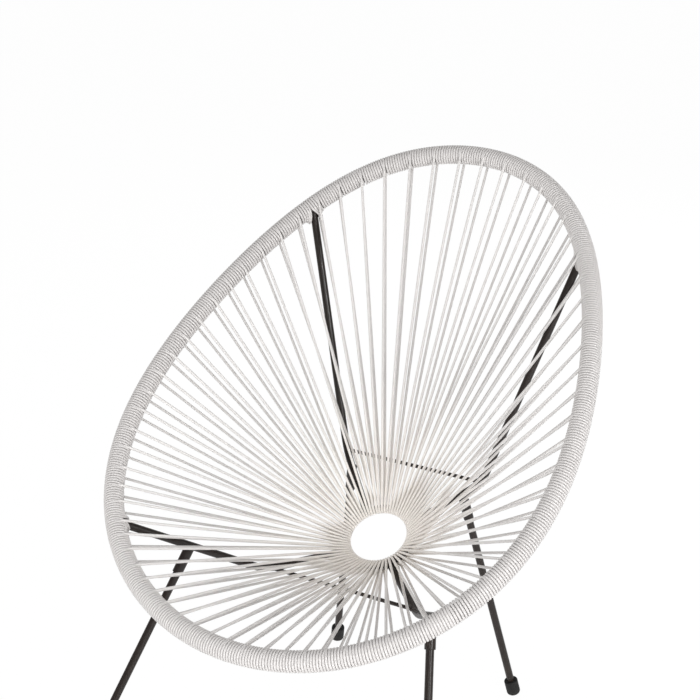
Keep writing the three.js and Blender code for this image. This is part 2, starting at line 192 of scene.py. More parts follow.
# Smooth extruded cord: pale warm grey where it is wound over the dark hoop, with painted light on
# the rest: brighter where it hangs clear of the hoop, brighter still and yellower near the ring,
# lifting the strands out of the shade they cast on each other. It has small lumps along it, dust
# that breaks up the gloss, and painted shade in the creases between neighbouring turns and along
# the sides of the strands. A noise's values are its scale and its detail.
cordLook = {
    "colour": (0.675, 0.655, 0.645), "shade": (0.605, 0.583, 0.571),
    "litFree": (0.725, 0.705, 0.69), "litFreeShare": 0.7, "litFreeLumps": 0.4,
    "litNearRing": (0.97, 0.92, 0.865), "litNearShare": 0.85, "fadeFrom": 0.07, "fadeTo": 0.26,
    "creaseShade": (0.33, 0.305, 0.295), "creaseShadeShare": 0.8, "lessShadeNearRing": 0.6,
    "patches": (14.0, 3.0), "patchShare": 0.7, "lumps": 55.0, "lumpShare": 0.5, "shadeMore": 0.1,
    "grime": (160.0, 4.0), "grimeFrom": 0.58, "grimeShare": 1.4,
    "roughness": 0.25, "grimeRoughness": 0.22, "specular": 0.5,
    "bump": 0.25, "bumpHeight": 0.0004, "bumpShare": 0.5,
}


def makeCordMaterial(centre):
    s, look = Surface(bpy.data.materials.new("paleCord")), cordLook
    fromRing = s.node("ShaderNodeVectorMath", {"operation": "DISTANCE"}, {
        0: s.place(), 1: tuple(centre)})["Value"]
    fade = look["fadeTo"] - look["fadeFrom"]
    near = (1.0 - (fromRing - look["fadeFrom"]) / fade).clamped()
    patches, grime = s.noise(*look["patches"]), s.noise(*look["grime"])
    lumps = s.node("ShaderNodeTexNoise", {"noise_dimensions": "1D"}, {
        "W": s.attribute("cordPlace"), "Scale": look["lumps"]})["Fac"]
    tone = patches * look["patchShare"] + lumps * look["lumpShare"] - look["shadeMore"]
    base = s.mix(tone.clamped(), look["shade"], look["colour"])
    # painted light: where the cord hangs clear of the hoop it is made brighter than the wound turns
    litFree = s.attribute("hangsFree") * (look["litFreeShare"] + lumps * look["litFreeLumps"])
    base = s.mix(litFree, base, look["litFree"])
    # painted light: brighter and yellower near the ring, lifting the strands out of their shade
    base = s.mix(near * look["litNearShare"], base, look["litNearRing"])
    dirt = ((grime - look["grimeFrom"]) * look["grimeShare"]).clamped()
    base = s.mix(dirt, base, look["shade"])
    # painted shade: darker colour in the creases between turns and along the cord's sides, less of
    # it near the ring
    creaseShade = s.attribute("creaseShade") * look["creaseShadeShare"] * (1.0 - near * look["lessShadeNearRing"])
    relief = lumps * look["bumpShare"] + grime * look["bumpShare"]
    s.fill(s.shader, {
        "Base Color": s.mix(creaseShade, base, look["creaseShade"]),
        "Roughness": grime * look["grimeRoughness"] + look["roughness"],
        "Normal": s.bump(relief, look["bump"], look["bumpHeight"]),
        "Specular IOR Level": look["specular"],
    })
    return s.owner


# Powder-coated steel: charcoal with a little brown, orange-peel bumps, and rubbed spots that
# shine more.
paintLook = {
    "colour": (0.0145, 0.0098, 0.008), "worn": (0.05, 0.036, 0.03),
    "rub": (38.0, 4.0), "rubFrom": 0.58, "rubEdge": 5.0, "rubShare": 0.35,
    "speckle": (2600.0, 1.0), "speckleShare": 0.2,
    "roughness": 0.32, "rubRoughness": 0.12, "speckleRoughness": 0.06, "specular": 0.5,
    "peel": (900.0, 2.0), "bump": 0.35, "bumpHeight": 0.00025,
}


def makePaintMaterial():
    s, look = Surface(bpy.data.materials.new("charcoalPowderCoat")), paintLook
    peel, speckle = s.noise(*look["peel"]), s.noise(*look["speckle"])
    rub = ((s.noise(*look["rub"]) - look["rubFrom"]) * look["rubEdge"]).clamped()
    wear = rub * look["rubShare"] + speckle * look["speckleShare"]
    shine = look["roughness"] - rub * look["rubRoughness"]
    s.fill(s.shader, {
        "Base Color": s.mix(wear, look["colour"], look["worn"]),
        "Roughness": shine + speckle * look["speckleRoughness"],
        "Normal": s.bump(peel, look["bump"], look["bumpHeight"]),
        "Specular IOR Level": look["specular"],
    })
    return s.owner


# Moulded rubber: matte black with fine grain and pale dust towards the floor.
rubberLook = {
    "colour": (0.011, 0.011, 0.0115), "dust": (0.060, 0.056, 0.050), "dustHeight": 0.012,
    "dustPatches": (240.0, 3.0), "dustShare": 0.6, "grain": (1400.0, 3.0), "grainShare": 0.12,
    "roughness": 0.48, "grainRoughness": 0.2, "specular": 0.35, "bump": 0.3, "bumpHeight": 0.0002,
}


def makeRubberMaterial():
    s, look = Surface(bpy.data.materials.new("blackRubber")), rubberLook
    height = s.node("ShaderNodeSeparateXYZ", {}, {"Vector": s.place()})["Z"]
    grain = s.noise(*look["grain"])
    low = (1.0 - height / look["dustHeight"]).clamped() * s.noise(*look["dustPatches"])
    dust = (low * look["dustShare"] + grain * look["grainShare"]).clamped()
    s.fill(s.shader, {
        "Base Color": s.mix(dust, look["colour"], look["dust"]),
        "Roughness": look["roughness"] + grain * look["grainRoughness"],
        "Normal": s.bump(grain, look["bump"], look["bumpHeight"]),
        "Specular IOR Level": look["specular"],
    })
    return s.owner


# Zinc plating: pale steel with a cloudy, faintly yellow passivation.
zincLook = {
    "colour": (0.42, 0.42, 0.43), "cloud": (0.36, 0.34, 0.29), "clouds": (500.0, 3.0),
    "roughness": 0.28, "cloudRoughness": 0.2, "metallic": 0.95, "bump": 0.1, "bumpHeight": 0.0001,
}


def makeZincMaterial():
    s, look = Surface(bpy.data.materials.new("zincPlate")), zincLook
    cloud = s.noise(*look["clouds"])
    s.fill(s.shader, {
        "Base Color": s.mix(cloud, look["colour"], look["cloud"]),
        "Roughness": look["roughness"] + cloud * look["cloudRoughness"],
        "Metallic": look["metallic"],
        "Normal": s.bump(cloud, look["bump"], look["bumpHeight"]),
    })
    return s.owner


# Hoop: a flat egg. Across = halfWidth * sum(w_k sin kt), back = halfLength * (sum(l_k cos kt)
# - l_2 - l_4), laid in a plane that leans back by the tilt.
hoop = {
    "tube": 0.0222, "halfWidth": 0.3467, "halfLength": 0.4515, "height": 0.5992,
    "tilt": math.radians(35.4), "rings": 480, "sides": 20,
    "widthShares": (1.0037, -0.0991, 0.0321, 0.004),
    "lengthShares": (0.99, -0.0266, 0.0099, -0.0048),
    "tableSteps": 4000, "nudge": 1e-4,
}
hoopUp = vec(0, -math.sin(hoop["tilt"]), math.cos(hoop["tilt"]))
hoopBack = vec(0, math.cos(hoop["tilt"]), math.sin(hoop["tilt"]))
hoopMiddle = vec(0, 0, hoop["height"])


def hoopAtAngle(t):
    w, l = np.array(hoop["widthShares"]), np.array(hoop["lengthShares"])
    kt = np.outer(t, 1 + np.arange(len(w)))
    across = hoop["halfWidth"] * np.sin(kt) @ w
    back = hoop["halfLength"] * (np.cos(kt) @ l - l[1] - l[3])
    return hoopMiddle + across[:, None] * vec(1, 0, 0) + back[:, None] * hoopBack


# A table of run against angle over two rounds, with nought at the hoop's highest point.
hoopAngles = np.linspace(-np.pi, 3 * np.pi, 4 * hoop["tableSteps"] + 1)
hoopRun = pathRun(hoopAtAngle(hoopAngles))
hoopLength = hoopRun[-1] / 2
hoopRun = hoopRun - hoopRun[hoop["tableSteps"]]


# Hoop centre, direction along and direction outwards at a run in metres from the highest point.
def hoopAt(run):
    t = np.interp(np.atleast_1d(run), hoopRun, hoopAngles)
    along = unit(hoopAtAngle(t + hoop["nudge"]) - hoopAtAngle(t - hoop["nudge"]))
    return hoopAtAngle(t), along, np.cross(hoopUp, along)


# Stringing: loop k stands at start + u + sum(c_i sin 2 pi i u + s_i cos 2 pi i u) / 2 pi of the
# hoop's length, with u = k / count, c the crowding towards the front and s the stray of hand-strung
# loops. footStray (in metres) and ringStray (in loops) scatter the loops a little more.
cord = {
    "diameter": 0.0041, "count": 69, "perPanel": 3, "start": 0.008, "turns": 607,
    "crowding": (0.192, -0.012, -0.009, 0.009), "stray": (-0.015, -0.007, 0.009, 0.004),
    "seed": 11, "footStray": 0.0006, "ringStray": 0.016,
    "sides": 10, "steps": 24, "strandPoints": 7, "wrapPoints": 13,
    "lowerFrom": 0.02, "upperFrom": 0.04, "upperTo": 0.98,
    "hoopGap": 0.00005, "ringGap": 0.0001, "lean": 0.5, "leanTurns": 3.2,
    "clasp": 0.0089, "collar": 0.008, "collarReach": 0.0095, "collarRise": 0.005,
    "panelShift": 7.3,
}
cordRadius = cord["diameter"] / 2
cordPitch = hoopLength / cord["turns"]
windRadius = hoop["tube"] / 2 + cordRadius + cord["hoopGap"]


def footRun(k):
    u = k / cord["count"]
    turn = 2 * np.pi * u * (1 + np.arange(len(cord["crowding"])))
    wave = np.sin(turn) @ np.array(cord["crowding"]) + np.cos(turn) @ np.array(cord["stray"])
    return (cord["start"] + u + wave / (2 * np.pi)) * hoopLength


# Round the ring the loops are evenly spaced.
def wrapShare(k):
    return cord["start"] + k / cord["count"]


# Centre ring: a circle in its own plane, tilted less than the hoop.
ring = {
    "tube": 0.010, "radius": 0.0543, "depth": 0.2537, "forward": 0.1224,
    "tilt": math.radians(30.8), "rings": 144, "sides": 20,
}
ringUp = vec(0, -math.sin(ring["tilt"]), math.cos(ring["tilt"]))
ringBack = vec(0, math.cos(ring["tilt"]), math.sin(ring["tilt"]))
ringCentre = hoopMiddle - ring["depth"] * hoopUp - ring["forward"] * hoopBack
wrapRadius = ring["tube"] / 2 + cordRadius + cord["ringGap"]


# Ring centre, direction outwards and direction along at a share of the way round from the back.
def ringAt(share):
    turn = 2 * np.pi * (0.25 - np.atleast_1d(share))[:, None]
    out = np.cos(turn) * vec(1, 0, 0) + np.sin(turn) * ringBack
    along = np.sin(turn) * vec(1, 0, 0) - np.cos(turn) * ringBack
    return ringCentre + ring["radius"] * out, out, along


materials = {
    "cord": makeCordMaterial(ringCentre), "paint": makePaintMaterial(),
    "rubber": makeRubberMaterial(), "zinc": makeZincMaterial(),
}
print("materials ready")

# Struts, from the hoop by way of a bend to the ring, and the bars between them. A bar's value is
# its place along the struts' bends.
strut = {
    "diameter": 0.012, "bendReach": 0.026, "rings": 22, "sides": 24,
    "topInset": 0.008, "topTo": 0.96, "topRings": 8,
    "lowInset": 0.02, "lowFrom": 0.12, "lowRings": 6,
    "rear": {"hoopShare": 0.1163, "ringShare": 0.1304, "bend": (0.1224, 0.1588, 0.3969)},
    "front": {"hoopShare": 0.3758, "ringShare": 0.3768, "bend": (0.1341, -0.0755, 0.28457)},
}
bar = {"diameter": 0.006, "rear": 0.5, "front": 0.65, "rings": 12, "sides": 16}


def strutShare(end, side, which):
    return strut[end][which] if side > 0 else 1 - strut[end][which]


def strutCorners(end, side):
    top = hoopAt(strutShare(end, side, "hoopShare") * hoopLength)[0][0]
    low = ringAt(strutShare(end, side, "ringShare"))[0][0]
    return top, vec(side, 1, 1) * vec(*strut[end]["bend"]), low


# The bend is a quadratic curve: (1 - t)^2 p + 2 t (1 - t) bend + t^2 q.
def bendPoints(corners, share):
    top, bend, low = corners
    p = bend + strut["bendReach"] * unit(top - bend)
    q = bend + strut["bendReach"] * unit(low - bend)
    t = np.atleast_1d(share)[:, None]
    return (1 - t) ** 2 * p + 2 * t * (1 - t) * bend + t ** 2 * q


strutPlaces = {}
for end in ("rear", "front"):
    for name, side in sides.items():
        strutPlaces[end, name] = strutCorners(end, side)


# A strut is a tube along a straight, the bend and a straight. Its ends stop just short of the
# middle of the hoop and of the ring.
def makeStrut(end, name):
    top, bend, low = strutPlaces[end, name]
    curve = bendPoints(strutPlaces[end, name], np.linspace(0, 1, strut["rings"]))
    inTop = top + (curve[0] - top) * strut["topInset"]
    inLow = low + (curve[-1] - low) * strut["lowInset"]
    path = np.vstack([
        blendPoints(inTop, curve[0], np.linspace(0, strut["topTo"], strut["topRings"])), curve,
        blendPoints(curve[-1], inLow, np.linspace(strut["lowFrom"], 1, strut["lowRings"])),
    ])
    flat = np.broadcast_to(unit(np.cross(top - bend, low - bend)), path.shape)
    grid = tubeGrid(path, flat, strut["diameter"] / 2, strut["sides"])
    piece = meshFromGrid(f"strut.{end}.{name}", grid, materials["paint"])
    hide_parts(f"strut_{end}_{name}")


def makeBar(end):
    ends = [bendPoints(strutPlaces[end, name], bar[end])[0] for name in sides]
    path = blendPoints(ends[0], ends[1], np.linspace(0, 1, bar["rings"]))
    upright = np.broadcast_to(vec(0, 0, 1), path.shape)
    grid = tubeGrid(path, upright, bar["diameter"] / 2, bar["sides"])
    piece = meshFromGrid(f"crossBar.{end}", grid, materials["paint"])
    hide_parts(f"cross_bar_{end}")


# A weld bead where a rod meets a host rod: each point of the rod's rim is pushed along the rod
# until it lies on the host, t solving |(p + t d) - host line| = host radius, and the bead swells
# in ripples. At the ring the bead stands a little off the surface.
weld = {
    "points": 72, "sides": 10, "barBead": 0.0011, "ringBead": 0.0013, "ringStand": 0.002,
    "ripple": 0.16, "ripples": 9, "fineRipple": 0.07, "fineRipples": 17,
    "rodShare": 0.99, "ahead": 0.02,
}


def makeBead(name, point, direction, radius, host, hostDirection, hostRadius, size):
    d, h = unit(direction), unit(hostDirection)
    turn = np.linspace(0, 2 * np.pi, weld["points"], endpoint=False)
    a = unit(np.cross(d, h))
    b = np.cross(d, a)
    rim = point + radius * (np.cos(turn)[:, None] * a + np.sin(turn)[:, None] * b) - host
    rimFlat, dFlat = rim - dot(rim, h) * h, d - dot(d, h) * h
    qa, qb, qc = dot(dFlat, dFlat), dot(rimFlat, dFlat), dot(rimFlat, rimFlat) - hostRadius ** 2
    reach = np.sqrt(np.maximum(qb ** 2 - qa * qc, 0))
    path = host + rim + ((-qb + reach) / qa) * d
    ripple = weld["ripple"] * np.sin(weld["ripples"] * turn)
    fineRipple = weld["fineRipple"] * np.sin(weld["fineRipples"] * turn + 1)
    swell = size * (1 + ripple + fineRipple)
    grid = tubeGrid(path, unit(path - point), swell, weld["sides"], closed=True)
    piece = meshFromGrid(name, grid, materials["paint"], rowsClose=True)


def makeBarWeld(end, name, side):
    corners = strutPlaces[end, name]
    seat = bendPoints(corners, bar[end])[0]
    ahead = bendPoints(corners, bar[end] + weld["ahead"])[0]
    makeBead(f"weld.bar.{end}.{name}", seat, vec(-side, 0, 0), bar["diameter"] / 2,
             seat, ahead - seat, strut["diameter"] / 2, weld["barBead"])


def makeRingWeld(end, name, side):
    _, bend, low = strutPlaces[end, name]
    ringDirection = ringAt(strutShare(end, side, "ringShare"))[2][0]
    rodRadius = strut["diameter"] / 2 * weld["rodShare"]
    makeBead(f"weld.ring.{end}.{name}", low, bend - low, rodRadius,
             low, ringDirection, ring["tube"] / 2 + weld["ringStand"], weld["ringBead"])


for end in ("rear", "front"):
    makeBar(end)
    for name, side in sides.items():
        makeStrut(end, name)
        makeBarWeld(end, name, side)
        makeRingWeld(end, name, side)
print("struts, bars and welds")


# Hoop tube and ring: closed tubes, seen only where the cord leaves a slit.
def makeHoopTube():
    centre, _, out = hoopAt(np.linspace(0, hoopLength, hoop["rings"], endpoint=False))
    grid = tubeGrid(centre, out, hoop["tube"] / 2, hoop["sides"], closed=True)
    piece = meshFromGrid("hoopTube", grid, materials["paint"], rowsClose=True)
    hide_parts("hoop_tube")


def makeRing():
    centre, out, _ = ringAt(np.linspace(0, 1, ring["rings"], endpoint=False))
    grid = tubeGrid(centre, out, ring["tube"] / 2, ring["sides"], closed=True)
    piece = meshFromGrid("centreRing", grid, materials["paint"], rowsClose=True)
    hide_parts("centre_ring")


makeHoopTube()
makeRing()
print("hoop tube and ring")

# Strung cord. One cord is wound round the hoop; at each foot it leaves the underside, runs to the
# ring, goes under it, round its inner side and back over it to the hoop's top, and winds on.
noise = np.random.default_rng(cord["seed"])
footJitter = noise.normal(0, cord["footStray"], cord["count"])
ringJitter = noise.normal(0, cord["ringStray"], cord["count"])

# How the strands part round the struts: over so many loops, the share of it that is made at the
# ring, the least way from a strut at the hoop, and the room from a strut's line to a strand's.
parting = {
    "loops": 6.0, "atRing": 0.42, "atHoop": 0.0092,
    "room": strut["diameter"] / 2 + cordRadius + 0.0008,
}

# The painted shade in a cord's section at an angle a from outwards, none on its outer face and
# darkest from its sides inwards, is depth * min(1, (rise * (1 - cos a))^2).
# Painted shade, deepest on the winding's turns.
creaseShadeDepth = {"winding": 0.5, "wrap": 0.2, "strand": 0.2}
creaseShadeRise = 1.25
creaseShadeProfile = np.minimum(1, (creaseShadeRise * (1 - np.cos(turnAngles(cord["sides"])))) ** 2)


# Where each strut meets the hoop: its run, its angle from up towards outwards, how far it leans
# along the hoop per metre outwards, and how much longer than round it cuts the wound surface.
def makeCollars():
    found = []
    for (end, name), (top, bend, _) in strutPlaces.items():
        place = strutShare(end, sides[name], "hoopShare") * hoopLength
        _, along, out = hoopAt(place)
        line = unit(bend - top)
        slope = float(line @ along[0])
        square = math.sqrt(1 - slope ** 2)
        angle = math.atan2(float(line @ out[0]), float(line @ hoopUp))
        found.append((place, angle, slope / square, 1 / square))
    return found


collars = makeCollars()


# Loop k's foot. The turns lie side by side, so a foot stands at a whole number of turns, unless
# its lower strand would run into a strut: there it moves along the hoop.
def footPlace(k):
    place = round((footRun(k) + footJitter[k % cord["count"]]) / cordPitch) * cordPitch
    for strutRun, *_ in collars:
        off = place - cordPitch / 2 - strutRun
        if abs(off) < parting["atHoop"]:
            place = strutRun + cordPitch / 2 + math.copysign(parting["atHoop"], off)
    return place


# Whole turns from foot k to the next one.
def turnsBetween(k):
    return int(round((footPlace(k + 1) - footPlace(k)) / cordPitch))


# How far a lower strand stands aside for a strut: 1 beside it, fading to nought over a few loops,
# with the sign of the side that it is on.
def partingShare(k):
    nearest = cord["count"]
    for end, name in strutPlaces:
        away = wrapShare(k % cord["count"]) - strutShare(end, sides[name], "ringShare")
        nearest = min(nearest, away * cord["count"], key=abs)
    return math.copysign(max(0.0, 1 - abs(nearest) / parting["loops"]), nearest)


# The direction square to a strand in the hoop's cross section, and its angle from up towards
# outwards.
def strandSide(run, k):
    centre, along, out = hoopAt(run)
    n = unit(np.cross(along, unit(centre - ringAt(wrapShare(k))[0])))
    n = n * np.sign(n[:, 2:3])
    return n[0], math.atan2(float(dot(n, out)[0, 0]), float(dot(n, hoopUp)[0, 0]))


# Round each strut the turns part and climb a little way up it. With d a turn's distance along the
# hoop from the strut's line, c = clasp * stretch and
# g = exp(-(wind radius * angle from the strut / clasp)^2), they part to sqrt(d^2 + c^2 g), climb
# by collar * exp(-(d / (reach * stretch))^2) * g, and follow the strut's lean by
# slope * (climb - rise) * g.
def partRoundStruts(run, angle, runPerTurn):
    radius = np.full(len(run), windRadius)
    for place, strutAngle, slope, stretch in collars:
        fromStrut = (angle - strutAngle + np.pi) % (2 * np.pi) - np.pi
        grip = np.exp(-(windRadius * fromStrut / cord["clasp"]) ** 2)
        off = run - runPerTurn * fromStrut / (2 * np.pi) - place
        off = off - slope * (windRadius + cord["collarRise"])
        climb = cord["collar"] * np.exp(-(off / cord["collarReach"] / stretch) ** 2) * grip
        parted = np.sqrt(off ** 2 + (cord["clasp"] * stretch) ** 2 * grip) - np.abs(off)
        run = run + np.sign(off) * parted + slope * (climb - cord["collarRise"]) * grip
        radius += climb
    return run, radius


# The winding after foot k is a screw line: its run grows evenly with the angle turned, from the
# top strand's side at the foot to the next lower strand's side, half a turn before the next foot.
# On the inner side the turns next to a foot lean towards it by
# lean * pitch * exp(-turns away / leanTurns). A stretch that doesn't start or end at a foot starts
# or ends half way, with one step more that makePanel leaves out.
def winding(k, fromFoot, toFoot):
    start, stop = footPlace(k), footPlace(k + 1)
    turns = turnsBetween(k)
    pitch = (stop - start) / turns
    angleStart = strandSide(start, k)[1]
    angleStop = strandSide(stop - pitch / 2, k + 1)[1]
    whole = 2 * np.pi * (turns - 1) + np.pi + angleStop - angleStart
    middle = 2 * np.pi * (turns // 2)
    low, high = (0.0 if fromFoot else middle), (whole if toFoot else middle)
    count = max(2, int(round((high - low) / (2 * np.pi) * cord["steps"])) + 1)
    step = 2 * np.pi / cord["steps"]
    turn = np.concatenate([
        [] if fromFoot else [low - step], np.linspace(low, high, count),
        [] if toFoot else [high + step],
    ])
    reach = stop - pitch / 2 - start
    run = start + reach * turn / whole
    inner = np.clip(-np.sin(angleStart + turn), 0, 1)
    turnsIn, turnsOut = turn / (2 * np.pi), (whole - turn) / (2 * np.pi)
    lean = np.exp(-turnsOut / cord["leanTurns"]) - np.exp(-turnsIn / cord["leanTurns"])
    run = run + cord["lean"] * pitch * inner * lean
    run, radius = partRoundStruts(run, angleStart + turn, 2 * np.pi * reach / whole)
    centre, _, out = hoopAt(run)
    angle = (angleStart + turn)[:, None]
    away = np.cos(angle) * hoopUp + np.sin(angle) * out
    return centre + radius[:, None] * away, away, np.full(len(turn), creaseShadeDepth["winding"])


# A strand from a to b that would run through a strut rests against its side instead: where the
# two lines pass each other, at share s of the strand, it moves out to the parting room, and the
# rest follows in two straight stretches, by
# room - |distance| times min(share / s, (1 - share) / (1 - s)).
def besideStruts(a, b, shares):
    strand = b - a
    for top, bend, _ in strutPlaces.values():
        rod, gap = bend - top, a - top
        n = unit(np.cross(strand, rod))
        pull = np.array([[strand @ strand, -strand @ rod], [-strand @ rod, rod @ rod]])
        s, t = np.linalg.solve(pull, [-strand @ gap, rod @ gap])
        apart = float(gap @ n)
        if 0 < s < 1 and 0 < t < 1 and abs(apart) < parting["room"]:
            shares = np.sort(np.append(shares, s))
            tent = np.minimum(shares / s, (1 - shares) / (1 - s))
            aside = math.copysign(parting["room"] - abs(apart), apart)
            return blendPoints(a, b, shares) + aside * tent[:, None] * n
    return blendPoints(a, b, shares)


# Loop k, from the hoop's underside to its top. Round the ring it is half a circle of the wrap
# radius, from a quarter turn below the strand's slope, by way of the inner side, to a quarter turn
# above it.
def loopPath(k):
    place = footPlace(k)
    lowPlace = place - (place - footPlace(k - 1)) / turnsBetween(k - 1) / 2
    atRing = wrapShare(k + ringJitter[k % cord["count"]])
    nLow, nTop = strandSide(lowPlace, k)[0], strandSide(place, k)[0]
    hoopLow = hoopAt(lowPlace)[0][0] - windRadius * nLow
    hoopTop = hoopAt(place)[0][0] + windRadius * nTop
    centre, out, along = ringAt(atRing)
    line = hoopAt(place)[0] - centre
    lean = math.atan2(float(dot(line, ringUp)[0, 0]), float(dot(line, out)[0, 0]))
    aside = parting["room"] * partingShare(k)
    t = np.linspace(1, 0, cord["wrapPoints"])
    late = np.maximum(0, 2 * t - 1) ** 2 * parting["atRing"] * aside
    centres, outs, _ = ringAt(atRing + late / (2 * np.pi * ring["radius"]))
    angle = (lean + np.pi / 2 + t * np.pi)[:, None]
    wrapAway = np.cos(angle) * outs + np.sin(angle) * ringUp
    wrap = centres + wrapRadius * wrapAway
    beside = wrap[0] + 2 * parting["room"] * unit(hoopLow - wrap[0])
    beside = beside + (1 - parting["atRing"]) * aside * along[0]
    lowerShares = np.linspace(cord["lowerFrom"], 1, cord["strandPoints"])
    upperShares = np.linspace(cord["upperFrom"], cord["upperTo"], cord["strandPoints"])
    lower = np.vstack([
        besideStruts(hoopLow, beside, lowerShares), blendPoints(beside, wrap[0], [0.5])])
    upper = blendPoints(wrap[-1], hoopTop, upperShares)
    awayLow = blendPoints(-nLow, wrapAway[0], np.linspace(0, 1, len(lower)))
    awayTop = blendPoints(wrapAway[-1], nTop, np.linspace(0, 1, len(upper)))
    depth = np.repeat([creaseShadeDepth["strand"], creaseShadeDepth["wrap"], creaseShadeDepth["strand"]],
                      [len(lower), len(wrap), len(upper)])
    return np.vstack([lower, wrap, upper]), np.vstack([awayLow, wrapAway, awayTop]), depth


# A panel's cord starts and ends half way between two feet. One step more at either end gives its
# end sections their direction and is then left out. panelShift keeps two panels' lumps unlike.
def makePanel(index):
    first = index * cord["perPanel"]
    last = first + cord["perPanel"] - 1
    parts = [winding(first - 1, False, True)]
    for k in range(first, last + 1):
        parts += [loopPath(k), winding(k, True, k < last)]
    path, away, depth = (np.concatenate([part[i] for part in parts]) for i in range(3))
    depth = depth[1:-1]
    place = pathRun(path)[1:-1] + index * cord["panelShift"]
    grid = tubeGrid(path, away, cordRadius, cord["sides"])[1:-1]
    # One attribute carries the painted shade of each section, from the depths and the profile.
    piece = meshFromGrid(f"strungCord.{index + 1:02d}", grid, materials["cord"], attributes={
        "cordPlace": np.repeat(place, cord["sides"]), "creaseShade": np.outer(depth, creaseShadeProfile),
        "hangsFree": np.repeat(depth < creaseShadeDepth["winding"], cord["sides"])})
    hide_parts(f"cord_panel_{index + 1:02d}")
    return len(piece.data.polygons)


faces = sum(makePanel(index) for index in range(cord["count"] // cord["perPanel"]))
turns = sum(turnsBetween(k) for k in range(cord["count"]))
print("strung cord:", faces, "faces, turns:", turns)

# Legs: sockets, tubes, caps and screws share one line each, with +Z up the leg and +Y to the back.
# A leg goes into its socket by the insertion, and its foot cap is pressed flat by the flattening.
leg = {
    "diameter": 0.012, "wall": 0.0012, "insertion": 0.036, "bottom": 0.0063, "chamfer": 0.0003,
    "rings": 14, "sides": 28, "rearInboard": 0.0345, "frontShare": 0.51,
    "rearFoot": (0.1715, 0.2081), "frontFoot": (0.3007, -0.3707),
}
socket = {
    "wall": 0.0017, "length": 0.046, "fit": 0.0003, "boreGap": 0.00015, "boreTop": 0.012,
    "lipBand": 0.01, "shoulder": 0.02, "neck": 0.01, "bite": 0.0003,
    "rimDrop": 0.9, "neckDrop": 0.3, "lipPoints": 9, "sides": 48,
}
cap = {
    "radius": 0.0112, "length": 0.027, "rounding": 0.005, "rim": 0.0015, "flattening": 0.0015,
    "floor": 0.0062, "gap": 0.0001, "mouthGap": 0.0002, "mouth": 0.001, "pole": 0.00005,
    "wallFrom": 0.008, "wallBelowTop": 0.004, "wallRings": 5, "edgePoints": 12, "rimPoints": 7,
    "sides": 40,
}
screw = {
    "head": 0.004, "height": 0.0026, "fall": 0.75, "stand": 0.0001,
    "slot": 0.00055, "slotReach": 0.0021, "slotDepth": 0.0014,
    "slotEdge": 0.0002, "reachEdge": 0.0003,
    "pole": 0.00002, "firstRing": 0.0002, "rings": 26, "sides": 56,
}
legRadius = leg["diameter"] / 2
socketRadius = legRadius + socket["fit"] + socket["wall"]


# A leg's line runs from its foot on the floor to its seat on the strut. The origin lies up the
# line so far that the rounded cap would just touch the floor, less the flattening.
def legLine(end, side, corners):
    top, bend, low = corners
    if end == "rear":
        seat = bend + leg["rearInboard"] * unit(low - bend)
    else:
        seat = bend + leg["frontShare"] * (top - bend)
    foot = vec(side * leg[end + "Foot"][0], leg[end + "Foot"][1], 0)
    up = unit(seat - foot)
    lean = math.acos(up[2])
    rise = cap["rounding"] * (1 - math.cos(lean))
    rise = rise + (cap["radius"] - cap["rounding"]) * math.sin(lean)
    origin = foot + up * (rise - cap["flattening"]) / math.cos(lean)
    back = unit(vec(0, 1, 0) - up[1] * up)
    return {
        "origin": origin, "axes": np.stack([np.cross(back, up), back, up]),
        "length": float(np.linalg.norm(seat - origin)),
        "strut": unit(low - bend) if end == "rear" else unit(top - bend),
    }


# A turned shape: each outline point (r, z) goes round the leg's line as (r cos a, r sin a, z).
def turnedGrid(line, outline, sideCount, heights=0.0):
    turn = turnAngles(sideCount)
    r, z = outline[:, 0][:, None], outline[:, 1][:, None] + heights
    local = np.stack([r * np.cos(turn), r * np.sin(turn), z + 0 * turn], axis=-1)
    return line["origin"] + local @ line["axes"]


def arc(centreR, centreZ, radius, fromAngle, toAngle, count):
    a = np.linspace(fromAngle, toAngle, count)
    return np.stack([centreR + radius * np.cos(a), centreZ + radius * np.sin(a)], axis=-1)


# The sleeve's upper rim follows the strut: it drops by rimDrop * sqrt(r^2 - lateral^2), the row
# below it by less, and the lower lip is rounded over into the bore.
def makeSocket(end, name, line):
    outer, bore = socketRadius, legRadius + socket["boreGap"]
    top, low = line["length"], line["length"] - socket["length"]
    lip = (outer - bore) / 2
    outline = np.vstack([
        [[bore, top - socket["boreTop"]], [bore, low + lip * 2], [bore, low + lip]],
        arc(bore + lip, low + lip, lip, np.pi, 2 * np.pi, socket["lipPoints"]),
        [[outer, low + lip * 1.2], [outer, low + socket["lipBand"]],
         [outer, top - socket["shoulder"]], [outer, top - socket["neck"]], [outer, top]],
    ])
    turn = turnAngles(socket["sides"])
    across, back, up = line["axes"]
    lateralAxis = unit(np.cross(up, line["strut"]))
    lateral = np.cos(turn) * (across @ lateralAxis) + np.sin(turn) * (back @ lateralAxis)
    strutRadius = strut["diameter"] / 2 - socket["bite"]
    drop = np.sqrt(np.maximum(strutRadius ** 2 - (outer * lateral) ** 2, 0))
    heights = np.zeros((len(outline), socket["sides"]))
    heights[-1] = -drop * socket["rimDrop"]
    heights[-2] = -drop * socket["neckDrop"]
    grid = turnedGrid(line, outline, socket["sides"], heights)
    piece = meshFromGrid(f"legSocket.{end}.{name}", grid, materials["paint"], lids=False)
    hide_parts(f"leg_socket_{end}_{name}")


# A leg is a tube with an open bore and a chamfered upper end.
def makeLeg(end, name, line):
    outer, inner = legRadius, legRadius - leg["wall"]
    low, high = leg["bottom"], line["length"] - socket["length"] + leg["insertion"]
    z = np.linspace(low, high, leg["rings"])
    outline = np.vstack([
        [[inner, high], [inner, low]], np.stack([np.full(len(z), outer), z], axis=-1),
        [[outer - leg["chamfer"], high + leg["chamfer"]], [inner, high]],
    ])
    grid = turnedGrid(line, outline, leg["sides"])
    piece = meshFromGrid(f"leg.{end}.{name}", grid, materials["paint"], lids=False)
    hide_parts(f"leg_{end}_{name}")


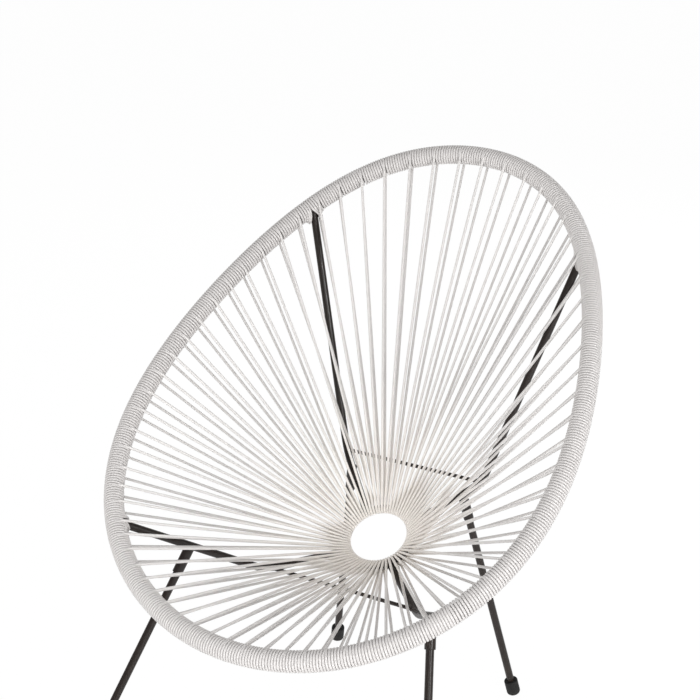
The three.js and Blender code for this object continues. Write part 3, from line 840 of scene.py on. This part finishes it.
# The cap's outline is a rounded cup; what would reach below the floor is pressed flat on it.
def makeCap(end, name, line):
    r, length, rounding, rim = (cap[key] for key in ("radius", "length", "rounding", "rim"))
    wallZ = np.linspace(cap["wallFrom"], length - cap["wallBelowTop"], cap["wallRings"])
    bore = legRadius + cap["gap"]
    outline = np.vstack([
        [[cap["pole"], 0]],
        arc(r - rounding, rounding, rounding, -np.pi / 2, 0, cap["edgePoints"]),
        np.stack([np.full(len(wallZ), r), wallZ], axis=-1),
        arc(r - rim, length - rim, rim, 0, np.pi / 2, cap["rimPoints"]),
        [[legRadius + cap["mouthGap"], length], [bore, length - cap["mouth"]],
         [bore, cap["floor"]], [cap["pole"], cap["floor"]]],
    ])
    grid = turnedGrid(line, outline, cap["sides"])
    grid[..., 2] = np.maximum(grid[..., 2], 0)
    piece = meshFromGrid(f"footCap.{end}.{name}", grid, materials["rubber"])
    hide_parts(f"foot_cap_{end}_{name}")


# A pan head: height * (1 - fall * (r / head)^4) down to an upright skirt, less a cross-shaped
# recess near the middle.
def makeScrew(end, name, line):
    rings = np.linspace(screw["firstRing"], screw["head"], screw["rings"])
    r = np.concatenate([[screw["pole"]], rings])[:, None]
    turn = -turnAngles(screw["sides"])[None, :]
    x, y = r * np.cos(turn), r * np.sin(turn)
    slot = np.minimum(np.abs(x), np.abs(y)) - screw["slot"]
    inside = np.clip(-slot / screw["slotEdge"], 0, 1)
    inside = inside * np.clip((screw["slotReach"] - r) / screw["reachEdge"], 0, 1)
    height = screw["height"] * (1 - (r / screw["head"]) ** 4 * screw["fall"]) + 0 * turn
    height = height - screw["slotDepth"] * inside
    skirt = np.stack([x[-1:], y[-1:], 0 * turn], axis=-1)
    local = np.concatenate([np.stack([x, y, height], axis=-1), skirt])
    across, back, up = line["axes"]
    base = up * (line["length"] - socket["length"] / 2) + back * (socketRadius + screw["stand"])
    grid = line["origin"] + base + local @ np.stack([across, -up, back])
    piece = meshFromGrid(f"legScrew.{end}.{name}", grid, materials["zinc"])
    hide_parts(f"leg_screw_{end}_{name}")


for (end, name), corners in strutPlaces.items():
    line = legLine(end, sides[name], corners)
    makeSocket(end, name, line)
    makeLeg(end, name, line)
    makeCap(end, name, line)
    makeScrew(end, name, line)
print("legs")

# Camera at the photograph's view: turned about +Z and looking down. focal is the focal length in
# widths of the picture.
view = {
    "turn": math.radians(30.168), "drop": math.radians(21.399), "distance": 2.3877,
    "target": (-0.02969, 0.00919, 0.6424), "focal": 1609.13 / 700, "sensor": 36,
}


def makeCamera():
    camera = bpy.data.objects.new("camera", bpy.data.cameras.new("camera"))
    bpy.context.collection.objects.link(camera)
    turn, drop = view["turn"], view["drop"]
    away = Vector((math.sin(turn) * math.cos(drop), -math.cos(turn) * math.cos(drop),
                   math.sin(drop)))
    camera.location = Vector(view["target"]) + away * view["distance"]
    camera.rotation_euler = (-away).to_track_quat("-Z", "Y").to_euler()
    camera.data.sensor_width = view["sensor"]
    camera.data.lens = view["sensor"] * view["focal"]
    bpy.context.scene.camera = camera


# Soft studio: a pale floor that the camera sees as nearly white, an even pale world, and wide
# lamps that stand low in front and to the right, so that what faces forward is bright and what
# faces up is duller, with a weak one high on the left and one behind. The two small ones only
# draw streaks on glossy pieces. Each lamp is (power, size, place).
studio = {
    "floor": 40.0, "floorDrop": 0.0005, "floorColour": (0.82, 0.82, 0.82), "floorRoughness": 0.9,
    "floorSpecular": 0.1, "floorWhite": 0.94, "floorGlow": 1.02,
    "worldLight": 0.58, "worldGloss": 0.17, "white": (1.0, 1.0, 1.0), "aim": (0, 0, 0.45),
    "lamps": {
        "right": (38, 1.3, (2.5, -1.4, 0.75)), "front": (22, 1.3, (0.9, -2.7, 0.75)),
        "left": (17, 1.3, (-1.3, -2.5, 0.75)), "fill": (4, 2.4, (-2.3, -0.5, 2.3)),
        "back": (27, 2.0, (0.0, 2.5, 2.0)), "streak": (5, 0.3, (1.04, -2.2, 1.5)),
        "sideStreak": (24, 0.3, (2.08, -0.68, 1.53)),
    },
    "streaks": ("streak", "sideStreak"),
}


def makeFloorMaterial():
    s = Surface(bpy.data.materials.new("paleFloor"))
    s.fill(s.shader, {
        "Base Color": wide(studio["floorColour"]), "Roughness": studio["floorRoughness"],
        "Specular IOR Level": studio["floorSpecular"]})
    path = s.node("ShaderNodeLightPath", {}, {})
    glow = s.node("ShaderNodeEmission", {}, {
        "Color": wide(studio["white"]), "Strength": studio["floorGlow"]})["Emission"]
    mixed = s.node("ShaderNodeMixShader", {}, {
        0: path["Is Camera Ray"] * studio["floorWhite"],
        1: Flow(s, s.shader.outputs[0]), 2: glow})["Shader"]
    s.tree.links.new(mixed.socket, s.tree.nodes["Material Output"].inputs["Surface"])
    return s.owner


def makeFloor():
    size, z = studio["floor"], -studio["floorDrop"]
    mesh = bpy.data.meshes.new("floor")
    corners = [(-size, -size, z), (size, -size, z), (size, size, z), (-size, size, z)]
    mesh.from_pydata(corners, [], [(0, 1, 2, 3)])
    mesh.materials.append(makeFloorMaterial())
    floor = bpy.data.objects.new("floor", mesh)
    bpy.context.collection.objects.link(floor)


def makeWorld():
    bpy.context.scene.world = bpy.data.worlds.new("studio")
    w = Surface(bpy.context.scene.world)
    rays = w.node("ShaderNodeLightPath", {}, {})
    dimmer = rays["Is Glossy Ray"] * (studio["worldLight"] - studio["worldGloss"])
    extra = rays["Is Camera Ray"] * (1.0 - studio["worldLight"])
    w.fill(w.shader, {
        "Color": wide(studio["white"]), "Strength": studio["worldLight"] - dimmer + extra})


def makeLamps():
    for name, (power, size, place) in studio["lamps"].items():
        light = bpy.data.lights.new(name, "AREA")
        light.energy, light.size = power, size
        lamp = bpy.data.objects.new(name, light)
        lamp.location, lamp.visible_camera = place, False
        lamp.visible_glossy = name in studio["streaks"]
        lamp.visible_diffuse = not lamp.visible_glossy
        towards = Vector(studio["aim"]) - Vector(place)
        lamp.rotation_euler = towards.to_track_quat("-Z", "Y").to_euler()
        bpy.context.collection.objects.link(lamp)


makeCamera()
makeFloor()
makeWorld()
makeLamps()
bpy.context.scene.view_settings.view_transform = "Standard"
print("camera and studio")
